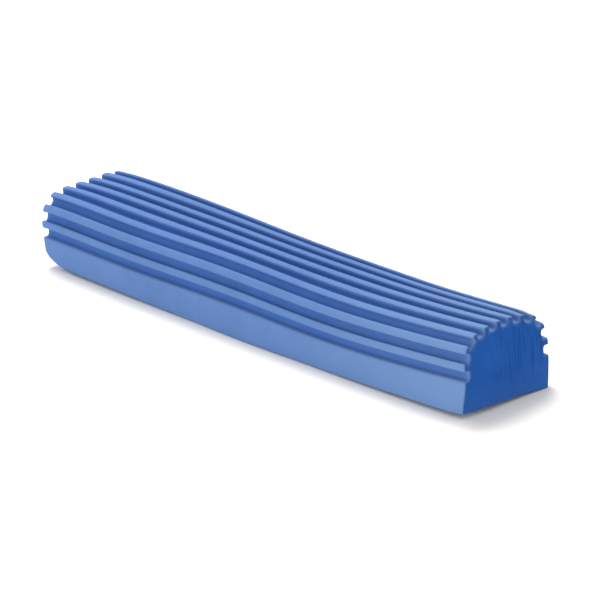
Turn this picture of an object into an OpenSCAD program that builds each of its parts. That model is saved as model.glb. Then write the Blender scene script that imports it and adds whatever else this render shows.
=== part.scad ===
// Refill bar for a squeeze mop: a ribbed foam sponge with a flat back, and a steel channel let into
// that back in which two T-nuts slide. All sizes are in millimetres.
// Frame: X runs along the bar, Z points up through the dome, and the origin is the centre of the flat back.

/* [Sponge] */
// Length of the sponge
bar_length = 280; // [240:5:400]
// Width of the sponge across its plain side walls
bar_width = 57; // [54:1:70]
// Height from the flat back to the crest of the dome
bar_height = 38; // [36:0.5:46]
// Height of the plain side wall below the first groove
wall_height = 15; // [14:0.5:17]
// Radius of the shoulder between side wall and dome
shoulder_radius = 13.5; // [11:0.5:15]
// Radius of the shallow crown over the middle
crown_radius = 95; // [80:5:140]

/* [Ribs] */
// Number of ribs between the two side walls
rib_count = 10; // [6:1:11]
// Share of one rib pitch that the groove takes
groove_share = 0.56; // [0.45:0.01:0.6]
// Depth of a groove below the crests
groove_depth = 3.4; // [2:0.1:4]
// Least radius of a groove's rounded floor
floor_radius = 3; // [2.8:0.1:4]
// Radius at the two edges of each rib crest
crest_round = 0.8; // [0.4:0.1:1]

/* [Channel] */
// Length of the steel channel
channel_length = 236; // [200:2:236]
// Width of the channel over its sides
channel_width = 24; // [22:0.5:28]
// Height of the channel from its lips to its web
channel_height = 10; // [9:0.5:12]
// Thickness of the channel's sheet steel
sheet = 1; // [0.8:0.1:1.2]
// Outside radius of the channel's bends
bend_radius = 2; // [1.6:0.1:2.4]
// Width of the slot between the two lips
slot_width = 9; // [8:0.5:10]
// Distance from the flat back up to the face of the lips
lip_recess = 0.5; // [0.3:0.1:1]
// Thickness of the adhesive between channel and foam
glue = 0.5; // [0.3:0.1:0.8]

/* [Slide nuts] */
// Distance between the two threads as stored
nut_spacing = 140; // [110:5:170]
// Length of a nut along the channel
nut_length = 18; // [16:1:22]
// Thickness of the nut's base inside the channel
nut_base = 5; // [4:0.5:5.5]
// Clearance above and below a nut's base, and at each side of its tongue
nut_play = 0.3; // [0.2:0.05:0.4]
// Radius of the thread's inner diameter, 2.5 for M6
thread_radius = 2.5; // [2:0.1:3]
// Length of each chamfer at the nut's corners
nut_chamfer = 1; // [0.5:0.1:1.5]

/* [Hidden] */
$fn = 96;
foam_blue = [0.20, 0.37, 0.72];
zinc = [0.74, 0.76, 0.78];
nut_steel = [0.62, 0.62, 0.60];
glue_amber = [0.86, 0.78, 0.56];
past = 0.01;   // how far a cutter reaches past the face it opens
over = 5;      // how far a groove's cutter stands proud of the crests
arc_share = 0.45;   // greatest height of a groove's floor arc, as a share of the groove's depth

// The dome's outline: a straight wall, a shoulder arc and half of the crown arc on each side.
shoulder_x = bar_width / 2 - shoulder_radius;
crown_z = bar_height - crown_radius;
shoulder_z = crown_z + sqrt(pow(crown_radius - shoulder_radius, 2) - pow(shoulder_x, 2));
tangent_angle = atan2(shoulder_z - crown_z, shoulder_x);
wall_run = shoulder_z - wall_height;
shoulder_run = shoulder_radius * tangent_angle * PI / 180;
crown_run = crown_radius * (90 - tangent_angle) * PI / 180;
dome_run = 2 * (wall_run + shoulder_run + crown_run);
pitch = dome_run / (rib_count + groove_share);
groove_width = groove_share * pitch;
arc_height = arc_share * groove_depth;
floor_arc = max(floor_radius, (pow(groove_width / 2, 2) + pow(arc_height, 2)) / (2 * arc_height));

// Levels of the channel and of the nuts in it, above the flat back.
web_top = lip_recess + channel_height;
tongue_low = lip_recess + nut_play;
base_low = lip_recess + sheet + nut_play;
inner_bend = bend_radius - sheet;
cavity_length = channel_length - 2 * sheet;

// Stop pressed down from the middle of the web, which keeps each nut in its own half of the channel.
stop_catch = 1;     // how far the stop reaches below the top of a nut
stop_radius = 3;
stop_depth = web_top - sheet - base_low - nut_base + stop_catch;
dent_radius = stop_radius - sheet;

// A point of the dome outline as [y, z, angle of its outward normal], b along it from the right wall's top.
function right_half(b) =
    b < wall_run ? [bar_width / 2, wall_height + b, 0]
  : b < wall_run + shoulder_run ?
      let (t = (b - wall_run) / shoulder_radius * 180 / PI)
      [shoulder_x + shoulder_radius * cos(t), shoulder_z + shoulder_radius * sin(t), t]
  : let (t = tangent_angle + (b - wall_run - shoulder_run) / crown_radius * 180 / PI)
      [crown_radius * cos(t), crown_z + crown_radius * sin(t), t];
function outline(a) =
    a <= dome_run / 2 ? right_half(a)
  : let (p = right_half(dome_run - a)) [-p[0], p[1], 180 - p[2]];

// Puts its children on the dome outline, with +X pointing out of the foam and +Y along the outline.
module on_outline(a) {
    p = outline(a);
    translate([p[0], p[1]]) rotate(p[2]) children();
}

// Cross-section with no grooves: walls, two shoulders and the crown between their tangents.
module plain_section() {
    reach = 2 * crown_radius;
    translate([-bar_width / 2, 0]) square([bar_width, shoulder_z]);
    for (side = [-1, 1])
        translate([side * shoulder_x, shoulder_z]) circle(shoulder_radius);
    intersection() {
        translate([0, crown_z]) circle(crown_radius, $fn = 360);
        translate([0, crown_z]) polygon([[0, 0],
            [reach * cos(tangent_angle), reach * sin(tangent_angle)],
            [-reach * cos(tangent_angle), reach * sin(tangent_angle)]]);
        translate([-bar_width / 2, shoulder_z]) square([bar_width, bar_height]);
    }
}

// One groove's cutter: parallel walls down to a floor that is a shallow arc.
module groove() {
    intersection() {
        translate([-groove_depth - over, -groove_width / 2])
            square([groove_depth + 2 * over, groove_width]);
        translate([-groove_depth + floor_arc, 0]) {
            circle(floor_arc, $fn = 48);
            translate([0, -groove_width]) square([groove_depth + over, 2 * groove_width]);
        }
    }
}

// Takes the sharp edge off a crest. The crest lies on the +Y side of the corner.
module edge_cutter() {
    difference() {
        translate([-crest_round, -past]) square(crest_round + past);
        translate([-crest_round, crest_round]) circle(crest_round, $fn = 32);
    }
}

module ribbed_section() {
    difference() {
        plain_section();
        for (i = [0 : rib_count])
            on_outline((i + groove_share / 2) * pitch) groove();
        for (i = [0 : rib_count - 1]) {
            on_outline((i + groove_share) * pitch) edge_cutter();
            on_outline((i + 1) * pitch) mirror([0, 1]) edge_cutter();
        }
    }
}

module channel_box(extra) {
    length = channel_length + 2 * extra;
    width = channel_width + 2 * extra;
    translate([-length / 2, -width / 2, lip_recess]) cube([length, width, channel_height + extra]);
}

module sponge() {
    color(foam_blue) difference() {
        rotate([90, 0, 90]) linear_extrude(bar_length, center = true) ribbed_section();
        channel_box(glue);
        translate([0, 0, -channel_height]) channel_box(glue);
    }
}

// Outline of the channel with its bent corners, from lips to web.
module channel_outline(inset, radius) {
    w = channel_width / 2 - inset;
    low = lip_recess + inset;
    high = web_top - inset;
    translate([-w, low + radius]) square([2 * w, high - low - 2 * radius]);
    translate([-w + radius, low]) square([2 * (w - radius), high - low]);
    for (side = [-1, 1], z = [low + radius, high - radius])
        translate([side * (w - radius), z]) circle(radius, $fn = 48);
}

module channel_body() {
    rotate([90, 0, 90]) linear_extrude(channel_length, center = true)
        channel_outline(0, bend_radius);
}

// Hollow that the press tool leaves above the stop, which the adhesive fills.
module stop_dent() {
    translate([0, 0, web_top - stop_depth]) cylinder(h = stop_depth + past, r = dent_radius);
}

module adhesive_bed() {
    clean = lip_recess + bend_radius;   // the bond stops level with the bends, so the lips stay clean
    color(glue_amber) {
        difference() {
            channel_box(glue);
            channel_body();
            translate([-bar_length / 2, -bar_width / 2, 0]) cube([bar_length, bar_width, clean]);
        }
        stop_dent();
    }
}

module channel() {
    color(zinc) difference() {
        union() {
            difference() {
                channel_body();
                rotate([90, 0, 90]) linear_extrude(cavity_length, center = true)
                    channel_outline(sheet, inner_bend);
                translate([-cavity_length / 2, -slot_width / 2, lip_recess - past])
                    cube([cavity_length, slot_width, sheet + 2 * past]);
            }
            translate([0, 0, web_top - sheet - stop_depth + past]) cylinder(h = stop_depth, r = stop_radius);
        }
        stop_dent();
    }
}

// Base inside the channel, tongue down in the slot, and a thread through both.
module slide_nut() {
    half_l = nut_length / 2;
    half_w = channel_width / 2 - sheet - max(nut_play, inner_bend);
    tongue_width = slot_width - 2 * nut_play;
    color(nut_steel) difference() {
        union() {
            translate([0, 0, base_low]) linear_extrude(nut_base) polygon([
                [-half_l + nut_chamfer, -half_w], [half_l - nut_chamfer, -half_w],
                [half_l, -half_w + nut_chamfer], [half_l, half_w - nut_chamfer],
                [half_l - nut_chamfer, half_w], [-half_l + nut_chamfer, half_w],
                [-half_l, half_w - nut_chamfer], [-half_l, -half_w + nut_chamfer]]);
            translate([-half_l + nut_chamfer, -tongue_width / 2, tongue_low])
                cube([nut_length - 2 * nut_chamfer, tongue_width, base_low - tongue_low + past]);
        }
        translate([0, 0, tongue_low - past]) cylinder(h = nut_base + sheet + 1, r = thread_radius);
    }
}

module nut_left() {
    translate([-nut_spacing / 2, 0, 0]) slide_nut();
}

module nut_right() {
    translate([nut_spacing / 2, 0, 0]) slide_nut();
}

sponge();
adhesive_bed();
channel();
nut_left();
nut_right();
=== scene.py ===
"""Looks of a squeeze mop's refill: a ribbed foam bar with a steel channel and two slide nuts in its flat back.

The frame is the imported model's: X along the bar, Z up through the dome, the origin in the middle of the
flat back. Shapes are worked out in millimetres, and new_object() turns them into metres.
"""

import math
import random

import bpy
from mathutils import Matrix, Vector, noise
from mathutils.geometry import delaunay_2d_cdt


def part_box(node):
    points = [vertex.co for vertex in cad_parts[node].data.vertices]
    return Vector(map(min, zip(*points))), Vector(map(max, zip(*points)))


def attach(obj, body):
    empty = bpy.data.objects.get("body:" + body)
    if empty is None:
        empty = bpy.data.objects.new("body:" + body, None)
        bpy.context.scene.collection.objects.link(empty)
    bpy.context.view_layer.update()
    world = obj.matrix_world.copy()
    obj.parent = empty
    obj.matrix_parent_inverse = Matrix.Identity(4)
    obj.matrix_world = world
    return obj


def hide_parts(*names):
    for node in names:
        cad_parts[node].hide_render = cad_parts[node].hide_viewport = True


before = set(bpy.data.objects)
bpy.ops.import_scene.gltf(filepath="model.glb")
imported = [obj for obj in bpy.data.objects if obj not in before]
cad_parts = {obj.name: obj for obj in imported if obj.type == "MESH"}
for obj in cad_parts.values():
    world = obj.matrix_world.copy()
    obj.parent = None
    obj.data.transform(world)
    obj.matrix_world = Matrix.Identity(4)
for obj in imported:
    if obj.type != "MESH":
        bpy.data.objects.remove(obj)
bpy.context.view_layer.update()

MM = 0.001
SEED = 11

# ---------------------------------------------------------------- sizes, in millimetres
sponge_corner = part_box("sponge")[1] / MM
pocket_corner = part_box("adhesive_bed")[1] / MM
HALF_LENGTH = sponge_corner.x
HALF_WIDTH = sponge_corner.y
HEIGHT = 38.0
WALL_HEIGHT = 15.0          # plain side wall under the first groove
SHOULDER_R = 13.5
CROWN_R = 95.0
RIBS = 10
GROOVE_SHARE = 0.56         # part of one rib pitch that the groove takes
GROOVE_DEPTH = 3.4
FLOOR_ROUND = 2.0           # at both bottom corners of a groove
CREST_ROUND = 0.85          # at both edges of a rib's crest
CREST_CROWN = 0.18          # how far a crest bulges between its edges
WIDENED = {RIBS - 1: 0.15, RIBS - 2: 0.35}      # how far the two lowest near ribs spread at each side
WALL_TOP_ROUND = 1.5
BASE_ROUND = 1.6            # at the long bottom edges
CORNER_SEGMENTS, BASE_SEGMENTS = 5, 6
WALL_PARTS = (0.2, 0.4, 0.6, 0.8)       # heights of extra points on the plain side walls
RIM_LENGTH, RIM_INSET = 1.2, 0.6        # rounding at the sawn ends, along the bar and into it
RIM_STEPS = 4
RING_STEP = 2.0
POCKET_TOP = pocket_corner.z
POCKET_HALF_WIDTH = pocket_corner.y
POCKET_HALF_LENGTH = pocket_corner.x
NEARLY_ZERO = 1e-6


# ---------------------------------------------------------------- small helpers
def smooth(low, high, value):
    """0 at low and before it, 1 at high and past it, and an S-curve between them. High may be below low."""
    t = min(1.0, max(0.0, (value - low) / (high - low)))
    return t * t * (3 - 2 * t)


def hump(centre, spread, value):
    """A bell of height 1 around centre."""
    return math.exp(-((value - centre) / spread) ** 2)


def round_over(share):
    """Drop of a quarter circle of radius 1, from 0 at share 0 to 1 at share 1."""
    share = min(1.0, max(0.0, share))
    return 1 - math.sqrt(1 - share * share)


def srgb(red, green, blue):
    """An 8-bit sRGB colour as linear RGBA."""
    def linear(channel):
        c = channel / 255
        return c / 12.92 if c <= 0.04045 else ((c + 0.055) / 1.055) ** 2.4
    return linear(red), linear(green), linear(blue), 1.0


def new_object(name, vertices, faces):
    """A smooth-shaded mesh object from points in millimetres."""
    mesh = bpy.data.meshes.new(name)
    mesh.from_pydata([tuple(c * MM for c in v) for v in vertices], [], faces)
    mesh.validate()
    mesh.update()
    mesh.shade_smooth()
    obj = bpy.data.objects.new(name, mesh)
    bpy.context.scene.collection.objects.link(obj)
    return obj


# ---------------------------------------------------------------- the sponge's section
CROWN_Z = HEIGHT - CROWN_R
SHOULDER_Y = HALF_WIDTH - SHOULDER_R
SHOULDER_Z = CROWN_Z + math.sqrt((CROWN_R - SHOULDER_R) ** 2 - SHOULDER_Y ** 2)
TANGENT = math.atan2(SHOULDER_Z - CROWN_Z, SHOULDER_Y)
WALL_RUN = SHOULDER_Z - WALL_HEIGHT
SHOULDER_RUN = SHOULDER_R * TANGENT
DOME_RUN = 2 * (WALL_RUN + SHOULDER_RUN + CROWN_R * (math.pi / 2 - TANGENT))
PITCH = DOME_RUN / (RIBS + GROOVE_SHARE)
GROOVE_WIDTH = GROOVE_SHARE * PITCH


def dome(run):
    """Point of the dome's outline and its outward angle, run along it from the +Y wall's top."""
    if run > DOME_RUN / 2:
        point, angle = dome(DOME_RUN - run)
        return Vector((-point.x, point.y)), math.pi - angle
    if run < WALL_RUN:
        return Vector((HALF_WIDTH, WALL_HEIGHT + run)), 0.0
    if run < WALL_RUN + SHOULDER_RUN:
        angle = (run - WALL_RUN) / SHOULDER_R
        centre, radius = Vector((SHOULDER_Y, SHOULDER_Z)), SHOULDER_R
    else:
        angle = TANGENT + (run - WALL_RUN - SHOULDER_RUN) / CROWN_R
        centre, radius = Vector((0.0, CROWN_Z)), CROWN_R
    return centre + radius * Vector((math.cos(angle), math.sin(angle))), angle


def groove_corners(index):
    """Corners of one groove, each with its rounding, from its +Y edge over the floor to its -Y edge."""
    middle, angle = dome((index + GROOVE_SHARE / 2) * PITCH)
    start, _ = dome(index * PITCH + WIDENED.get(index - 1, 0.0))
    end, _ = dome((index + GROOVE_SHARE) * PITCH - WIDENED.get(index, 0.0))
    start_round = WALL_TOP_ROUND if index == 0 else CREST_ROUND
    end_round = WALL_TOP_ROUND if index == RIBS else CREST_ROUND
    floor = middle - Vector((math.cos(angle), math.sin(angle))) * GROOVE_DEPTH
    along = Vector((-math.sin(angle), math.cos(angle))) * GROOVE_WIDTH / 2
    return [(start, start_round, CORNER_SEGMENTS), (floor - along, FLOOR_ROUND, CORNER_SEGMENTS),
            (floor + along, FLOOR_ROUND, CORNER_SEGMENTS), (end, end_round, CORNER_SEGMENTS)]


def section_corners():
    """The whole outline as corners with a rounding radius and a number of arc segments."""
    corners = [(Vector((POCKET_HALF_WIDTH, 0.0)), 0, 0), (Vector((HALF_WIDTH, 0.0)), BASE_ROUND, BASE_SEGMENTS)]
    corners += [(Vector((HALF_WIDTH, WALL_HEIGHT * part)), 0, 0) for part in WALL_PARTS]
    for index in range(RIBS + 1):
        corners += groove_corners(index)
        if index < RIBS:
            crest, angle = dome((index + (1 + GROOVE_SHARE) / 2) * PITCH)
            out = Vector((math.cos(angle), math.sin(angle)))
            corners.append((crest + out * CREST_CROWN, 0, 0))
    corners += [(Vector((-HALF_WIDTH, WALL_HEIGHT * part)), 0, 0) for part in reversed(WALL_PARTS)]
    corners += [(Vector((-HALF_WIDTH, 0.0)), BASE_ROUND, BASE_SEGMENTS), (Vector((-POCKET_HALF_WIDTH, 0.0)), 0, 0)]
    return corners


def rounded(corners):
    """Outline points with each corner replaced by a curve that leaves and meets its sides tangentially."""
    longest_share = 0.45        # of a side, that the rounding of one of its corners may take
    points = []
    count = len(corners)
    for i, (corner, radius, segments) in enumerate(corners):
        if not segments:
            points.append(corner.copy())
            continue
        before = corners[i - 1][0] - corner
        after = corners[(i + 1) % count][0] - corner
        first = corner + before.normalized() * min(radius, before.length * longest_share)
        last = corner + after.normalized() * min(radius, after.length * longest_share)
        for k in range(segments + 1):
            t = k / segments
            points.append(first * (1 - t) ** 2 + corner * 2 * t * (1 - t) + last * t * t)
    return points


def outward_normals(points):
    """Unit normals of a closed outline that runs anticlockwise."""
    normals = []
    for i, point in enumerate(points):
        side = points[(i + 1) % len(points)] - points[i - 1]
        normals.append(Vector((side.y, -side.x)).normalized())
    return normals


# ---------------------------------------------------------------- how the real bar has moved out of shape
# Here s is the place along the bar, from -1 at the left end to 1 at the right end. A pair named after s, y or z
# is the range over which a change sets in, as smooth() takes it. Shifts are in millimetres.
SIDEWAYS = (-0.66, 0.48, 2.73)      # bow at s = 1 of the terms in s^2, s^3 and s^4
UPWARD = (0.0, 0.91, 0.65)
TWIST = (-0.32, -1.42, -1.80)       # degrees at s = 1 of the terms in s, s^2 and s^3
TAPER = (-0.018, -0.003)            # share of the height gained at s = 1, in s and s^2
LEFT_SAG = (0.040, 0.060)           # share of it lost at the very left end, on the near side and the crown
SAG_Y, SAG_POWER = (-20.0, -4.0), 10
RIGHT_CUT = (-0.005, -0.054)        # lean of the right cut, per mm of y and of z
LEFT_CUT = (-0.044, -0.076)
CUT_CENTRE_Z, CUT_POWER = 19.0, 8
CORNER_RISE, CORNER_RUN = 8.0, 19.0     # rounding of the lower left corner, upward and along the bar
CORNER_FAR_SHARE = 0.8                  # of that rounding, on the far side
EDGE_RISE, EDGE_RUN = 1.9, 120.0        # the long shallow rise that leads up to it
TIP_DROP, TIP_RUN = 0.3, 4.0            # rounding of the rib tips at the left end
FAR_BULGE, BULGE_Z = 2.1, 11.0          # of the far wall towards the right end, and its height
BULGE_S, FAR_SIDE = (0.75, 1.0), (10.0, HALF_WIDTH)
BASE_FLARE, FLARE_HUMP = 1.0, (0.03, 0.2)       # of the near bottom edge, with a hump's centre and spread in s
FLARE_Y, FLARE_Z = (-20.0, -HALF_WIDTH), (11.0, 0.0)
FREE_ABOVE_POCKET = 4.0                 # the foam this far above the pocket bends freely
SWAY_Z = (3.0, WALL_HEIGHT + 3)
RIGHT_TIP = (0.93, 1.0)
LOWEST_NEAR, LOWEST_FAR = -0.8, -0.7    # of the bottom edge's two corners at the right end
ARCH_RISE, ARCH_SPREAD = 0.6, 14.0      # of that edge between them
NEAR_DROP_S, FAR_CORNER = (0.7, 0.95), 4.0
NEAR_WAVE = (0.42, 0.95, 0.08)          # height, and the length and lead in s
CROWN_RISES = ((0.5, 0.45, 0.9),)       # height, and the range of s
CROWN_HUMPS = ((-0.5, 0.1, 0.35),)      # height, and the centre and spread in s
FAR_RISES = ((1.5, -0.1, -0.85), (0.7, 0.5, 0.9), (-0.9, *RIGHT_TIP))
FAR_HUMPS = ((0.8, -0.45, 0.35), (-0.3, 0.1, 0.25))
CROWN_SIDE, WAVE_SIDE = 4.0, 20.0       # |y| to which the crown's wave holds, and from which a side's does
RIGHT_END_MOVES = (     # shift in x and in y, and the ranges of s, y and z
    (-2.0, 0.0, RIGHT_TIP, (-10.0, -HALF_WIDTH), (14.0, 0.0)),      # near lower corner, drawn back
    (2.3, -2.0, (0.9, 1.0), (-8.0, HALF_WIDTH), (9.0, 0.0)),        # far lower corner, pulled out and tucked in
    (0.8, 0.0, (0.9, 1.0), FAR_SIDE, (12.0, 18.0)),                 # far rib tips, pulled out
)


def powers(terms, s, first):
    """Value and slope in s of a short polynomial whose lowest power is first."""
    value = sum(c * s ** (first + i) for i, c in enumerate(terms))
    slope = sum(c * (first + i) * s ** (first + i - 1) for i, c in enumerate(terms))
    return value, slope


def bent(x, y, z):
    """The place in the bent bar of a point of the straight one. The channel's surroundings stay straight."""
    s = x / HALF_LENGTH
    sideways, side_slope = powers(SIDEWAYS, s, 2)
    upward, up_slope = powers(UPWARD, s, 2)
    twist = math.radians(powers(TWIST, s, 1)[0])
    free = max(smooth(POCKET_HALF_LENGTH, HALF_LENGTH, abs(x)), smooth(POCKET_HALF_WIDTH, HALF_WIDTH, abs(y)),
               smooth(0.0, POCKET_TOP + FREE_ABOVE_POCKET, z))
    tall = settled_height(x, y, z)
    along, across = right_end_shift(s, y, z)
    along += cut_lean(s, y, z) - (y * side_slope + z * up_slope) / HALF_LENGTH
    across += FAR_BULGE * smooth(*BULGE_S, s) * smooth(*FAR_SIDE, y) * hump(BULGE_Z, BULGE_Z, z)
    across -= BASE_FLARE * hump(*FLARE_HUMP, s) * smooth(*FLARE_Y, y) * smooth(*FLARE_Z, z)
    new_y = y * math.cos(twist) - tall * math.sin(twist) + sideways + across
    new_z = y * math.sin(twist) + tall * math.cos(twist) + upward
    sway = swell(s, y) * smooth(*SWAY_Z, z) + right_end_lift(s, y) * low_share(z)
    return x + along * free, y + (new_y - y) * free, max(0.0, z + (new_z - z) * free + sway)


def low_share(z):
    """1 at the bottom of the side wall and 0 at its top."""
    return max(0.0, 1 - z / WALL_HEIGHT)


def settled_height(x, y, z):
    """Height of a point once the bar has tapered, sagged and worn."""
    s = x / HALF_LENGTH
    sag = LEFT_SAG[0] + (LEFT_SAG[1] - LEFT_SAG[0]) * smooth(*SAG_Y, y)
    tall = z * (1 + TAPER[0] * s + TAPER[1] * s * s - sag * max(0.0, -s) ** SAG_POWER)
    tall += lower_left_rise(x, y) * low_share(z)
    worn = round_over(1 - (x + HALF_LENGTH) / TIP_RUN)
    return tall - TIP_DROP * worn * smooth(WALL_HEIGHT, SHOULDER_Z, z)


def cut_lean(s, y, z):
    """Shift in x that slants the saw cut at either end."""
    per_y, per_z = RIGHT_CUT if s > 0 else LEFT_CUT
    return abs(s) ** CUT_POWER * (per_y * y + per_z * (z - CUT_CENTRE_Z))


def right_end_shift(s, y, z):
    """Shift in x and in y from the local changes at the right end."""
    along = across = 0.0
    for shift_x, shift_y, s_range, y_range, z_range in RIGHT_END_MOVES:
        share = smooth(*s_range, s) * smooth(*y_range, y) * smooth(*z_range, z)
        along += shift_x * share
        across += shift_y * share
    return along, across


def right_end_lift(s, y):
    """Lift of the bottom edge at the right end: a shallow arch between two lower corners."""
    arch = ARCH_RISE * hump(0.0, ARCH_SPREAD, y)
    near = LOWEST_NEAR * smooth(0.0, -HALF_WIDTH, y)
    far = LOWEST_FAR * smooth(HALF_WIDTH - FAR_CORNER, HALF_WIDTH, y)
    return (arch + far) * smooth(*RIGHT_TIP, s) + near * smooth(*NEAR_DROP_S, s)


def wave(rises, humps, s):
    """Height at s of a line along the bar that is made of rises and humps."""
    height = sum(rise * smooth(low, high, s) for rise, low, high in rises)
    return height + sum(rise * hump(centre, spread, s) for rise, centre, spread in humps)


def swell(s, y):
    """Height of the slow waves along the bar, which differ on the near side, the crown and the far side."""
    rise, length, lead = NEAR_WAVE
    near = rise * math.cos(2 * math.pi * (s + lead) / length)
    crown = wave(CROWN_RISES, CROWN_HUMPS, s)
    far = wave(FAR_RISES, FAR_HUMPS, s)
    to_near, to_far = smooth(-CROWN_SIDE, -WAVE_SIDE, y), smooth(CROWN_SIDE, WAVE_SIDE, y)
    return near * to_near + far * to_far + crown * (1 - to_near - to_far)


def lower_left_rise(x, y):
    """Rise of the rounded lower corner at the left end, greatest on the near side."""
    from_end = x + HALF_LENGTH
    corner = CORNER_RISE * round_over(1 - from_end / CORNER_RUN)
    corner *= CORNER_FAR_SHARE + (1 - CORNER_FAR_SHARE) * smooth(HALF_WIDTH, -HALF_WIDTH, y)
    return corner + EDGE_RISE * (1 - smooth(0.0, EDGE_RUN, from_end))


# ---------------------------------------------------------------- the sponge's mesh
CAP_COLUMN, CAP_ROW = 0.42, 1.6         # spacing of the points on a sawn face
CAP_FIRST_ROW, CAP_JITTER, CAP_MARGIN = 0.8, 0.5, 0.5
INSIDE_ONLY, MERGE_DISTANCE = 1, 1e-7   # output kind and tolerance of the triangulation
FINE_SAW = (0.95, 0.015, 3.0)           # waves per mm across and upward, and the place in the noise
COARSE_SAW = (0.22, 0.02, 9.0)
SAW_GRAIN = (1.1, 0.9, 5.0)
FINE_DEPTH, FINE_DEPTH_FAR = 0.03, 0.15     # least depth of the fine scratches, and what the far half adds
COARSE_DEPTH, GRAIN_DEPTH = 0.05, 0.03
FAR_HALF, LEFT_END_SHARE = (-6.0, 14.0), 0.6
SAW_FADE = (0.3, 1.6)                   # distance from the border over which the scratches set in
GROOVE_SHADE_SHARE, GROOVE_SHADE_DEPTH = 0.5, (0.2, 1.6)        # how much painted shade a groove's floor gets, and at what depth that starts
# The first pair is the distance from a sawn end over which the painted groove shade sets in.
GROOVE_SHADE_FADE, SKIN_RIM, RIM_SKIN_SHARE = (-1.5, 3.0), (0.0, 0.4), 0.4


def stations():
    """Places of the plain rings along the bar: even steps, and one ring at each end of the pocket."""
    inner = HALF_LENGTH - RIM_LENGTH
    count = round(2 * inner / RING_STEP)
    pocket_ends = {-POCKET_HALF_LENGTH, POCKET_HALF_LENGTH}
    places = {round(-inner + 2 * inner * i / count, 4) for i in range(count + 1)}
    places = {x for x in places if min(abs(x - end) for end in pocket_ends) > RING_STEP / 4}
    return sorted(places | pocket_ends)


def rim_rings(side):
    """Rings that curl inward over a quarter circle, up to the sawn end on one side: -1 left, 1 right."""
    rings = []
    for k in range(1, RIM_STEPS + 1):
        angle = math.pi / 2 * k / RIM_STEPS
        x = side * (HALF_LENGTH - RIM_LENGTH * (1 - math.sin(angle)))
        rings.append((x, RIM_INSET * (1 - math.cos(angle))))
    return rings


def at_pocket(x):
    """Whether a ring lies along the pocket, its two ends counted in."""
    return abs(x) <= POCKET_HALF_LENGTH + NEARLY_ZERO


def skin_faces(rings, size):
    """Quads between rings. The outline's last and first points are the pocket's edges, so it opens there."""
    faces = []
    for i in range(len(rings) - 1):
        is_open = at_pocket(rings[i][0]) and at_pocket(rings[i + 1][0])
        for j in range(size - 1 if is_open else size):
            k = (j + 1) % size
            faces.append((i * size + j, (i + 1) * size + j, (i + 1) * size + k, i * size + k))
    return faces


def add_pocket(vertices, faces, rings, size):
    """The pocket's two side walls, roof and two end walls."""
    inside = [i for i, (x, _) in enumerate(rings) if at_pocket(x)]
    roof = {}
    for i in inside:
        for side in (1, -1):
            roof[i, side] = len(vertices)
            vertices.append((rings[i][0], side * POCKET_HALF_WIDTH, POCKET_TOP))
    for a, b in zip(inside, inside[1:]):
        faces.append((a * size, roof[a, 1], roof[b, 1], b * size))
        faces.append((a * size + size - 1, b * size + size - 1, roof[b, -1], roof[a, -1]))
        faces.append((roof[a, 1], roof[a, -1], roof[b, -1], roof[b, 1]))
    for i, order in ((inside[0], 1), (inside[-1], -1)):
        loop = (i * size, i * size + size - 1, roof[i, -1], roof[i, 1])
        faces.append(loop[::order])


def build_sponge():
    """The bar as one closed skin, with the share of pale skin colour stored at each point; less of it in the grooves
    is painted shade.
    """
    outline = rounded(section_corners())
    normals = outward_normals(outline)
    size = len(outline)
    rings = rim_rings(-1)[::-1] + [(x, 0.0) for x in stations()] + rim_rings(1)
    vertices = []
    for x, inset in rings:
        for point, normal in zip(outline, normals):
            y, z = point - normal * inset
            vertices.append((x, y, z))
    faces = skin_faces(rings, size)
    add_pocket(vertices, faces, rings, size)
    add_cap(vertices, faces, list(range(size)), -1)
    add_cap(vertices, faces, [(len(rings) - 1) * size + i for i in range(size)], 1)
    foam = new_object("sponge_foam", [bent(*v) for v in vertices], faces)
    store_skin_and_shade(foam, outline, rings)
    return foam


def store_skin_and_shade(foam, outline, rings):
    """Writes the share of pale skin colour: full on crests, less in grooves where that paints shade, little on the
    rims, none on sawn faces.
    """
    groove_shades = [groove_shade(*point) for point in outline]
    skin = foam.data.attributes.new("skin", "FLOAT", "POINT")
    for i, item in enumerate(skin.data):
        ring, place = divmod(i, len(outline))
        if ring < len(rings):
            from_end = HALF_LENGTH - abs(rings[ring][0])
            # Painted shade: groove floors keep less of the pale skin colour.
            unshaded = 1 - groove_shades[place] * smooth(*GROOVE_SHADE_FADE, from_end)
            item.value = unshaded * (RIM_SKIN_SHARE + (1 - RIM_SKIN_SHARE) * smooth(*SKIN_RIM, from_end))


def groove_shade(y, z):
    """How much painted shade a point gets: none on walls and crests, most on the floor of a groove."""
    if z < SHOULDER_Z:
        below = HALF_WIDTH - abs(y) if z > WALL_HEIGHT else 0.0
    elif abs(y) > SHOULDER_Y and math.atan2(z - SHOULDER_Z, abs(y) - SHOULDER_Y) < TANGENT:
        below = SHOULDER_R - math.hypot(abs(y) - SHOULDER_Y, z - SHOULDER_Z)
    else:
        below = CROWN_R - math.hypot(y, z - CROWN_Z)
    return GROOVE_SHADE_SHARE * smooth(*GROOVE_SHADE_DEPTH, below)


def cap_points(border, rng):
    """Points in upright columns over a sawn face, clear of its border."""
    points = []
    for column in range(1, int(2 * HALF_WIDTH / CAP_COLUMN)):
        for row in range(int(HEIGHT / CAP_ROW) + 1):
            height = CAP_FIRST_ROW + row * CAP_ROW + rng.uniform(-CAP_JITTER, CAP_JITTER)
            point = Vector((-HALF_WIDTH + column * CAP_COLUMN, height))
            if inside_outline(point, border) and clearance(point, border) > CAP_MARGIN:
                points.append(point)
    return points


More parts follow.
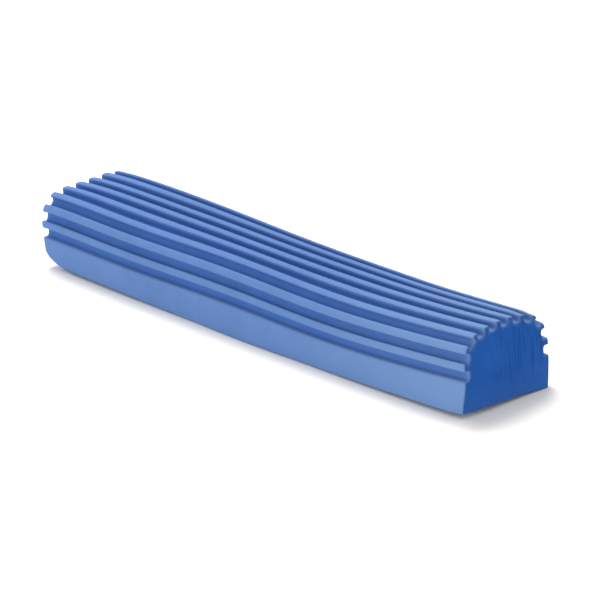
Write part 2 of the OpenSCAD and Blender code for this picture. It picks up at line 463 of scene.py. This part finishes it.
def add_cap(vertices, faces, ring, end):
    """Closes one end with a sawn face, joined to the ring of points that the rim ends in."""
    border = [Vector(vertices[i][1:]) for i in ring]
    x_end = vertices[ring[0]][0]
    points = border + cap_points(border, random.Random(SEED + end))
    edges = [(i, (i + 1) % len(border)) for i in range(len(border))]
    coords, _, triangles, origin, _, _ = delaunay_2d_cdt(points, edges, [], INSIDE_ONLY, MERGE_DISTANCE)
    index = []
    for place, source in zip(coords, origin):
        if source and source[0] < len(border):
            index.append(ring[source[0]])
            continue
        index.append(len(vertices))
        depth = saw_mark(place.x, place.y, end) * smooth(*SAW_FADE, clearance(place, border))
        vertices.append((x_end + end * depth, place.x, place.y))
    for a, b, c in triangles:
        face = (index[a], index[b], index[c])
        faces.append(face if end > 0 else face[::-1])


def inside_outline(point, outline):
    """Whether a ray from point towards +x crosses the outline an odd number of times."""
    inside = False
    for a, b in zip(outline, outline[1:] + outline[:1]):
        if (a.y > point.y) != (b.y > point.y):
            if point.x < (b.x - a.x) * (point.y - a.y) / (b.y - a.y) + a.x:
                inside = not inside
    return inside


def clearance(point, outline):
    return min((point - q).length for q in outline)


def saw_mark(y, z, end):
    """Depth in mm of the blade's upright scratches, deepest on the far half of the right end."""
    def marks(pattern):
        across, upward, place = pattern
        return noise.noise(Vector((y * across, z * upward, place * end)))

    far = smooth(*FAR_HALF, y) if end > 0 else LEFT_END_SHARE
    fine = (FINE_DEPTH + FINE_DEPTH_FAR * far) * marks(FINE_SAW)
    return fine + COARSE_DEPTH * marks(COARSE_SAW) + GRAIN_DEPTH * marks(SAW_GRAIN)


# ---------------------------------------------------------------- the slide nuts' mesh
NUT_CHAMFER = 1.0           # at the four upright corners of a nut's base
NUT_EDGE, NUT_EDGE_STEPS = 0.4, 4       # rounding of a nut's long edges
TONGUE_HALF_WIDTH = 4.2
TONGUE_CHAMFER = 0.2
TONGUE_SHORTER = 1.0        # by how much the tongue stops short of the base at each end
TONGUE_HEIGHT = 1.0
THREAD_R, THREAD_DEPTH, THREAD_PITCH = 2.5, 0.5, 1.0
THREAD_LEAD_IN = 0.6        # height of the chamfer at both mouths of the thread
THREAD_RINGS = 44
NUT_ANGLES = 96
SHARP_ANGLE = 35            # degrees, past which an edge of a nut is shaded sharp


def box_corners(half_length, half_width, chamfer):
    """Corners of a rectangle whose own corners are cut off."""
    a, b = half_length - chamfer, half_width - chamfer
    quarter = [(half_length, b), (a, half_width)]
    corners = []
    for sign_x, sign_y in ((1, 1), (-1, 1), (-1, -1), (1, -1)):
        pair = [(sign_x * x, sign_y * y) for x, y in quarter]
        corners += pair if sign_x == sign_y else pair[::-1]
    return corners


def reach(corners, angle):
    """Distance from the middle to the outline of corners in one direction."""
    direction = (math.cos(angle), math.sin(angle))
    best = 0.0
    for (x1, y1), (x2, y2) in zip(corners, corners[1:] + corners[:1]):
        normal = (y2 - y1, x1 - x2)
        facing = normal[0] * direction[0] + normal[1] * direction[1]
        best = max(best, facing / (normal[0] * x1 + normal[1] * y1))
    return 1 / best


def thread_radius(angle, z):
    """Radius of the thread's flank, a right-hand helix with a triangular profile."""
    turn = (z / THREAD_PITCH - angle / (2 * math.pi)) % 1
    return THREAD_R + THREAD_DEPTH * (1 - abs(2 * turn - 1))


def nut_outlines(lo, hi):
    """Two functions, for a nut's base and its tongue, that give the corners when drawn in by an inset."""
    half_length, half_width = (hi.x - lo.x) / 2, (hi.y - lo.y) / 2

    def base(inset):
        return box_corners(half_length - inset, half_width - inset, NUT_CHAMFER)

    def tongue(inset):
        return box_corners(half_length - TONGUE_SHORTER - inset, TONGUE_HALF_WIDTH - inset, TONGUE_CHAMFER)

    return base, tongue


def nut_angles(outlines):
    """Even steps round the nut, and the directions of the outlines' corners."""
    angles = {round(2 * math.pi * i / NUT_ANGLES, 6) for i in range(NUT_ANGLES)}
    for outline in outlines:
        angles |= {round(math.atan2(y, x) % (2 * math.pi), 6) for x, y in outline}
    return sorted(angles)


def outer_rings(lo, hi, base, tongue):
    """Heights and outlines of the rings up the outside, with each long edge rounded."""
    shoulder = lo.z + TONGUE_HEIGHT
    arc = [math.pi / 2 * k / NUT_EDGE_STEPS for k in range(NUT_EDGE_STEPS + 1)]
    edge = [(NUT_EDGE * (1 - math.sin(a)), NUT_EDGE * (1 - math.cos(a))) for a in arc]
    rings = [(lo.z + rise, tongue(inset)) for inset, rise in edge]
    rings.append((shoulder, tongue(0)))
    rings += [(shoulder + rise, base(inset)) for inset, rise in edge]
    rings += [(hi.z - rise, base(inset)) for inset, rise in reversed(edge)]
    return rings


def thread_rings(lo, hi, angles):
    """Heights and radii of the rings down the thread, with a chamfer at both mouths."""
    rings = []
    for i in range(THREAD_RINGS + 1):
        z = hi.z + (lo.z - hi.z) * i / THREAD_RINGS
        mouth = THREAD_R + THREAD_LEAD_IN - min(hi.z - z, z - lo.z)
        rings.append((z, [max(mouth, thread_radius(angle, z)) for angle in angles]))
    return rings


def build_nut(name, node):
    """One closed skin: out under the tongue, up round the base, in over the top and down the thread."""
    lo, hi = (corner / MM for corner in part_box(node))
    centre_x = (lo.x + hi.x) / 2
    base, tongue = nut_outlines(lo, hi)
    angles = nut_angles([base(0), tongue(0)])
    rings = [(z, [reach(outline, angle) for angle in angles]) for z, outline in outer_rings(lo, hi, base, tongue)]
    rings += thread_rings(lo, hi, angles)
    vertices = []
    for z, radii in rings:
        vertices += [(centre_x + r * math.cos(a), r * math.sin(a), z) for a, r in zip(angles, radii)]
    size = len(angles)
    faces = []
    for i in range(len(rings)):
        above = (i + 1) % len(rings)
        for j in range(size):
            k = (j + 1) % size
            faces.append((i * size + j, i * size + k, above * size + k, above * size + j))
    nut = new_object(name, vertices, faces)
    nut.data.set_sharp_from_angle(angle=math.radians(SHARP_ANGLE))
    return nut


# ---------------------------------------------------------------- materials
class Nodes:
    """Short hand for building one material's node tree."""

    def __init__(self, name):
        self.material = bpy.data.materials.new(name)
        self.material.use_nodes = True
        self.tree = self.material.node_tree
        self.shader = self.tree.nodes["Principled BSDF"]
        self.place = self.tree.nodes.new("ShaderNodeTexCoord").outputs["Object"]

    def add(self, kind, inputs=None, **settings):
        node = self.tree.nodes.new(kind)
        for key, value in settings.items():
            setattr(node, key, value)
        for key, value in (inputs or {}).items():
            self.feed(node.inputs[key], value)
        return node

    def feed(self, socket, value):
        if isinstance(value, bpy.types.NodeSocket):
            self.tree.links.new(value, socket)
        else:
            socket.default_value = value

    def scaled(self, x, y, z):
        return self.add("ShaderNodeMapping", {"Vector": self.place, "Scale": (x, y, z)}).outputs["Vector"]

    def noise(self, vector, scale, detail=3.0, distortion=0.0):
        return self.add("ShaderNodeTexNoise", {"Vector": vector, "Scale": scale, "Detail": detail,
                        "Distortion": distortion}).outputs["Fac"]

    def range(self, value, from_low, from_high, to_low=0.0, to_high=1.0):
        return self.add("ShaderNodeMapRange", {"Value": value, "From Min": from_low, "From Max": from_high,
                        "To Min": to_low, "To Max": to_high}).outputs["Result"]

    def mix(self, factor, first, second):
        node = self.add("ShaderNodeMix", data_type="RGBA")
        self.feed(node.inputs[0], factor)
        self.feed(node.inputs[6], first)
        self.feed(node.inputs[7], second)
        return node.outputs[2]

    def math(self, operation, first, second):
        node = self.add("ShaderNodeMath", operation=operation)
        self.feed(node.inputs[0], first)
        self.feed(node.inputs[1], second)
        return node.outputs[0]

    def bump(self, height, distance, strength):
        node = self.add("ShaderNodeBump", {"Height": height, "Distance": distance, "Strength": strength})
        return node.outputs["Normal"]

    def set(self, **values):
        for key, value in values.items():
            self.feed(self.shader.inputs[key.replace("_", " ")], value)


def skin_colour_and_sheen(m, cloud, along):
    """Pale colour of the moulded skin, partly its own colour and partly a painted sheen, with faint upright streaks
    and painted light towards the right end.
    """
    # Pale skin colour with a painted sheen laid over it.
    skin_and_sheen = m.mix(m.range(cloud, 0.3, 0.7), srgb(88, 120, 172), srgb(93, 125, 179))
    streak = m.noise(m.scaled(1, 0.2, 0.04), 380.0, 2.0)
    skin_and_sheen = m.mix(m.range(streak, 0.45, 0.8, 0.0, 0.4), skin_and_sheen, srgb(96, 127, 183))
    # Painted light: the skin colour gets paler towards the right end.
    return m.mix(m.range(along, 0.03, 0.13), skin_and_sheen, srgb(104, 136, 183))


def foam_inside(m, cloud, across, upward):
    """Deep blue of the cut foam, with saw scratches on the far half, and painted bounce light near the bottom."""
    deep = m.mix(m.range(cloud, 0.3, 0.7), srgb(24, 82, 163), srgb(31, 90, 171))
    saw = m.noise(m.scaled(1, 1, 0.03), 800.0, 2.0, distortion=0.1)
    far_half = m.range(across, -0.010, 0.006, 0.15, 1.0)
    scratch = m.math("MULTIPLY", m.range(saw, 0.5, 0.62, 0.0, 0.6), far_half)
    deep = m.mix(scratch, deep, srgb(18, 66, 140))
    # Painted bounce light: the cut face gets paler towards the bottom.
    return m.mix(m.range(upward, 0.0, 0.016, 0.7, 0.0), deep, srgb(58, 106, 184))


def foam_material():
    """Dense open-cell foam: pale skin colour with painted sheen where the skin attribute is 1, deep blue where it is
    0, painted shade in the grooves and in the fine pores.
    """
    m = Nodes("foam_blue")
    # The skin attribute also carries painted shade in the grooves.
    skin = m.add("ShaderNodeAttribute", attribute_name="skin", attribute_type="GEOMETRY").outputs["Fac"]
    axes = m.add("ShaderNodeSeparateXYZ", {"Vector": m.place}).outputs
    cloud = m.noise(m.place, 45.0)
    colour = m.mix(skin, foam_inside(m, cloud, axes["Y"], axes["Z"]), skin_colour_and_sheen(m, cloud, axes["X"]))
    pores = m.add("ShaderNodeTexVoronoi", {"Vector": m.place, "Scale": 2400.0}, feature="F1").outputs["Distance"]
    # Painted shade in the pores: the colour darkens towards each pore's middle.
    colour = m.mix(m.range(pores, 0.0, 0.35, 0.25, 0.0), colour, srgb(30, 72, 142))
    grain = m.noise(m.place, 1500.0)
    height = m.math("ADD", m.math("MULTIPLY", m.range(pores, 0.12, 0.5), 0.5), grain)
    m.set(Base_Color=colour, Normal=m.bump(height, 0.00012, 0.5), Roughness=m.range(grain, 0.3, 0.7, 0.82, 0.95))
    m.shader.inputs["Specular IOR Level"].default_value = 0.12
    return m.material


def zinc_material():
    """Bright zinc plate over rolled sheet: faint spangle, draw lines along the channel and dull patches."""
    m = Nodes("zinc_plate")
    spangle = m.add("ShaderNodeTexVoronoi", {"Vector": m.place, "Scale": 260.0}, feature="F1").outputs["Color"]
    dull = m.noise(m.place, 60.0, 4.0)
    lines = m.noise(m.scaled(0.03, 1, 1), 2600.0, 2.0)
    colour = m.mix(m.range(dull, 0.35, 0.7), srgb(196, 200, 205), srgb(170, 173, 174))
    colour = m.mix(m.range(spangle, 0.0, 1.0, 0.0, 0.16), colour, srgb(216, 220, 226))
    m.set(Base_Color=colour, Normal=m.bump(lines, 0.00003, 0.4), Roughness=m.range(dull, 0.3, 0.7, 0.30, 0.48))
    m.shader.inputs["Metallic"].default_value = 1.0
    return m.material


def nut_material():
    """Oiled cut steel, darker than the zinc, with tool marks and stains."""
    m = Nodes("nut_steel")
    marks = m.noise(m.scaled(1, 0.08, 1), 2200.0)
    stain = m.noise(m.place, 220.0, 4.0)
    colour = m.mix(m.range(stain, 0.35, 0.7), srgb(150, 149, 145), srgb(118, 116, 112))
    m.set(Base_Color=colour, Normal=m.bump(marks, 0.00003, 0.5), Roughness=m.range(stain, 0.3, 0.7, 0.28, 0.5))
    m.shader.inputs["Metallic"].default_value = 1.0
    return m.material


def adhesive_material():
    """Cured contact adhesive: amber, slightly glossy, with small blisters."""
    m = Nodes("cured_adhesive")
    blister = m.noise(m.place, 520.0)
    colour = m.mix(m.range(blister, 0.3, 0.7), srgb(214, 188, 128), srgb(186, 156, 96))
    m.set(Base_Color=colour, Normal=m.bump(blister, 0.0002, 0.5), Roughness=m.range(blister, 0.3, 0.7, 0.3, 0.55))
    return m.material


def dress(obj, material):
    obj.data.materials.clear()
    obj.data.materials.append(material)
    return obj


# ---------------------------------------------------------------- build
foam = dress(build_sponge(), foam_material())
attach(foam, "bar")
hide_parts("sponge")

dress(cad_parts["channel"], zinc_material())
dress(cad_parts["adhesive_bed"], adhesive_material())
steel = nut_material()
for node, body in (("nut_left", "left_nut"), ("nut_right", "right_nut")):
    nut = dress(build_nut(node + "_threaded", node), steel)
    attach(nut, body)
    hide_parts(node)


# ---------------------------------------------------------------- floor, light and camera
FLOOR_HALF, FLOOR_Z = 30000.0, -0.02        # in millimetres
LIGHT_SIZE = 0.9
SKY_HEIGHTS = (0.05, 0.35)                  # between which the sky goes from horizon to overhead
CAMERA_AZIMUTH, CAMERA_ELEVATION, CAMERA_ROLL = 46.70, 20.84, -0.73     # degrees
CAMERA_DISTANCE = 2.377
CAMERA_TARGET = Vector((0, 0, 0.0209))
CAMERA_LENS = 307
CAMERA_SHIFT = (0.0255, -0.029)


def direction(azimuth, elevation):
    """Unit vector from the bar towards azimuth and elevation in degrees. Azimuth 0 is -Y and 90 is +X."""
    a, e = math.radians(azimuth), math.radians(elevation)
    return Vector((math.sin(a) * math.cos(e), -math.cos(a) * math.cos(e), math.sin(e)))


def make_floor():
    corners = [(-FLOOR_HALF, -FLOOR_HALF), (FLOOR_HALF, -FLOOR_HALF), (FLOOR_HALF, FLOOR_HALF),
               (-FLOOR_HALF, FLOOR_HALF)]
    floor = new_object("floor", [(x, y, FLOOR_Z) for x, y in corners], [(0, 1, 2, 3)])
    m = Nodes("pale_floor")
    speckle = m.noise(m.place, 30.0, 2.0)
    m.set(Base_Color=m.mix(speckle, srgb(250, 246, 241), srgb(252, 249, 245)), Roughness=0.9)
    dress(floor, m.material)


def area_light(name, azimuth, elevation, distance, power):
    """A square soft box that looks at the bar from azimuth and elevation."""
    back = direction(azimuth, elevation)
    data = bpy.data.lights.new(name, "AREA")
    data.shape = "SQUARE"
    data.size = LIGHT_SIZE
    data.energy = power
    light = bpy.data.objects.new(name, data)
    light.location = back * distance
    light.rotation_mode = "QUATERNION"
    light.rotation_quaternion = back.to_track_quat("Z", "Y")
    bpy.context.scene.collection.objects.link(light)


def make_world(overhead, horizon):
    """A plain sky, bright along the horizon and dimmer overhead."""
    world = bpy.data.worlds.new("studio")
    world.use_nodes = True
    tree = world.node_tree
    height = tree.nodes.new("ShaderNodeSeparateXYZ")
    tree.links.new(tree.nodes.new("ShaderNodeTexCoord").outputs["Generated"], height.inputs[0])
    strength = tree.nodes.new("ShaderNodeMapRange")
    strength.inputs["From Min"].default_value, strength.inputs["From Max"].default_value = SKY_HEIGHTS
    strength.inputs["To Min"].default_value = horizon
    strength.inputs["To Max"].default_value = overhead
    tree.links.new(height.outputs["Z"], strength.inputs["Value"])
    tree.links.new(strength.outputs["Result"], tree.nodes["Background"].inputs["Strength"])
    tree.nodes["Background"].inputs["Color"].default_value = (1, 1, 1, 1)
    bpy.context.scene.world = world


def make_camera():
    back = direction(CAMERA_AZIMUTH, CAMERA_ELEVATION)
    data = bpy.data.cameras.new("camera")
    data.sensor_width = 36
    data.lens = CAMERA_LENS
    data.shift_x, data.shift_y = CAMERA_SHIFT
    data.clip_end = 50
    camera = bpy.data.objects.new("camera", data)
    camera.location = CAMERA_TARGET + back * CAMERA_DISTANCE
    camera.rotation_mode = "QUATERNION"
    roll = Matrix.Rotation(math.radians(CAMERA_ROLL), 3, "Z")
    camera.rotation_quaternion = (back.to_track_quat("Z", "Y").to_matrix() @ roll).to_quaternion()
    bpy.context.scene.collection.objects.link(camera)
    bpy.context.scene.camera = camera


bpy.context.scene.view_settings.view_transform = "Standard"
make_floor()
make_world(overhead=0.68, horizon=1.0)
area_light("key", -119, 59, 2.2, 41)
area_light("side", -72, 32, 2.2, 7)
area_light("fill", 2, 11, 3.0, 24)
make_camera()
